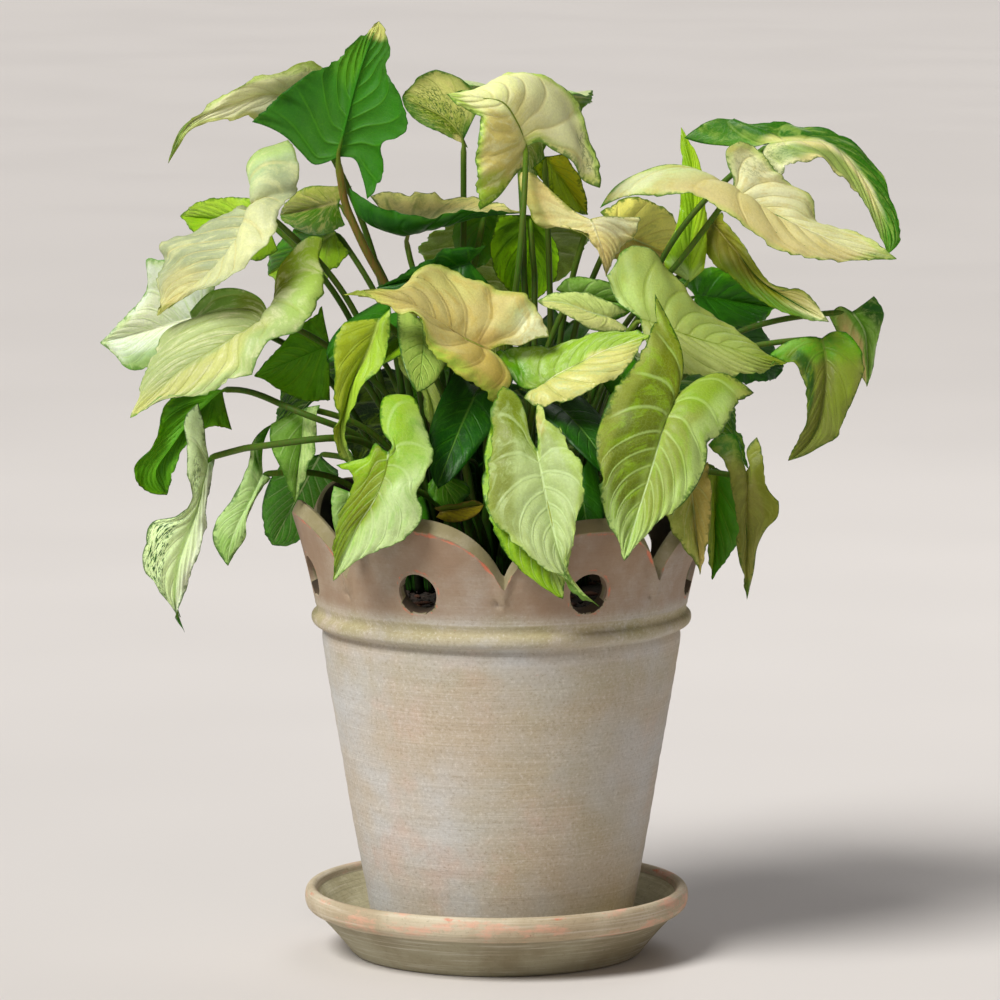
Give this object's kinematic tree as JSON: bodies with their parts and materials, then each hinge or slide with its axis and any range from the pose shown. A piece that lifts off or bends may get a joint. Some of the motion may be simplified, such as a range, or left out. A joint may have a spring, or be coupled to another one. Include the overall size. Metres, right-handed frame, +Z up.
{
  "type": "potted arrowhead plant",
  "caption": "Bushy cream-variegated arrowhead plant growing in a scalloped whitewashed clay pot that stands on a round clay saucer.",
  "frame": {"origin": "centre of the saucer's underside, on the surface it stands on", "axes": "+Z up; -Y towards the side that the leaves face"},
  "size_m": [0.4031, 0.278, 0.4679],
  "materials": {
    "leaf_cream_mint": "soft leaf skin, slightly glossy above",
    "leaf_lime": "soft leaf skin, slightly glossy above",
    "leaf_green": "soft leaf skin, slightly glossy above",
    "leaf_khaki": "soft leaf skin, slightly glossy above",
    "leaf_mint_olive": "soft leaf skin, slightly glossy above",
    "leaf_olive": "soft leaf skin, slightly glossy above",
    "leaf_olive_mint": "soft leaf skin, slightly glossy above",
    "leaf_bright_dark": "soft leaf skin, slightly glossy above",
    "leaf_gold": "soft leaf skin, slightly glossy above",
    "leaf_peach": "soft leaf skin, slightly glossy above",
    "leaf_dry": "soft leaf skin, slightly glossy above",
    "leaf_mint": "soft leaf skin, slightly glossy above",
    "leaf_bright_green": "soft leaf skin, slightly glossy above",
    "leaf_olive_green": "soft leaf skin, slightly glossy above",
    "leaf_mint_speck": "soft leaf skin, slightly glossy above",
    "leaf_dark": "soft leaf skin, slightly glossy above",
    "leaf_cream_olive": "soft leaf skin, slightly glossy above",
    "leaf_cream_arch": "soft leaf skin, slightly glossy above",
    "leaf_cream_beige": "soft leaf skin, slightly glossy above",
    "leaf_dark_peach": "soft leaf skin, slightly glossy above",
    "leaf_olive_cream": "soft leaf skin, slightly glossy above",
    "leaf_cream_gold": "soft leaf skin, slightly glossy above",
    "leaf_cream": "soft leaf skin, slightly glossy above",
    "leaf_cream_dark": "soft leaf skin, slightly glossy above",
    "pot_whitewash": "unglazed clay with a worn whitewash",
    "saucer_clay": "unglazed clay with a grey-green wash, rim rubbed back to cream and pink",
    "potting_soil": "moist crumbly potting mix",
    "stem_bark": "green-brown stem"
  },
  "bodies": {
    "root": {"leaf_back_high": "leaf_cream_mint", "leaf_back_left": "leaf_lime", "leaf_back_low_left": "leaf_green", "leaf_back_low_right": "leaf_khaki", "leaf_back_mid": "leaf_mint_olive", "leaf_back_olive": "leaf_olive", "leaf_back_right": "leaf_olive_mint", "leaf_backlit": "leaf_bright_dark", "leaf_centre_band": "leaf_gold", "leaf_centre_gold": "leaf_gold", "leaf_centre_green": "leaf_green", "leaf_centre_peach": "leaf_peach", "leaf_centre_point": "leaf_lime", "leaf_dry": "leaf_dry", "leaf_front_centre": "leaf_mint_olive", "leaf_front_left": "leaf_lime", "leaf_front_lime": "leaf_lime", "leaf_front_right": "leaf_olive_mint", "leaf_front_small": "leaf_mint", "leaf_left_behind": "leaf_bright_green", "leaf_left_far": "leaf_mint", "leaf_left_folded": "leaf_olive_green", "leaf_left_hanging": "leaf_mint_speck", "leaf_left_low_dark": "leaf_dark", "leaf_left_lower": "leaf_cream_olive", "leaf_left_under": "leaf_green", "leaf_left_upper": "leaf_cream_mint", "leaf_low_inner": "leaf_dark", "leaf_low_khaki": "leaf_khaki", "leaf_low_left_back": "leaf_dark", "leaf_low_left_light": "leaf_mint", "leaf_low_left_small": "leaf_mint_olive", "leaf_low_right_green": "leaf_green", "leaf_low_right_olive": "leaf_olive", "leaf_mid_olive": "leaf_olive", "leaf_middle_small": "leaf_lime", "leaf_right_arch": "leaf_cream_arch", "leaf_right_cream": "leaf_cream_beige", "leaf_right_dark_lower": "leaf_dark", "leaf_right_dark_upper": "leaf_dark", "leaf_right_droop": "leaf_olive_mint", "leaf_right_far": "leaf_dark_peach", "leaf_right_gold": "leaf_gold", "leaf_right_khaki": "leaf_khaki", "leaf_right_spear": "leaf_bright_green", "leaf_right_wavy": "leaf_olive_cream", "leaf_top_back": "leaf_bright_dark", "leaf_top_centre": "leaf_cream_gold", "leaf_top_left_cream": "leaf_cream", "leaf_top_left_green": "leaf_bright_dark", "leaf_top_olive": "leaf_olive", "leaf_upper_dark": "leaf_dark", "leaf_upper_edge": "leaf_cream_dark", "leaf_upper_olive": "leaf_olive_green", "pot": "pot_whitewash", "saucer": "saucer_clay", "soil": "potting_soil", "stem_1": "stem_bark", "stem_2": "stem_bark", "stem_3": "stem_bark"}
  },
  "joints": []
}
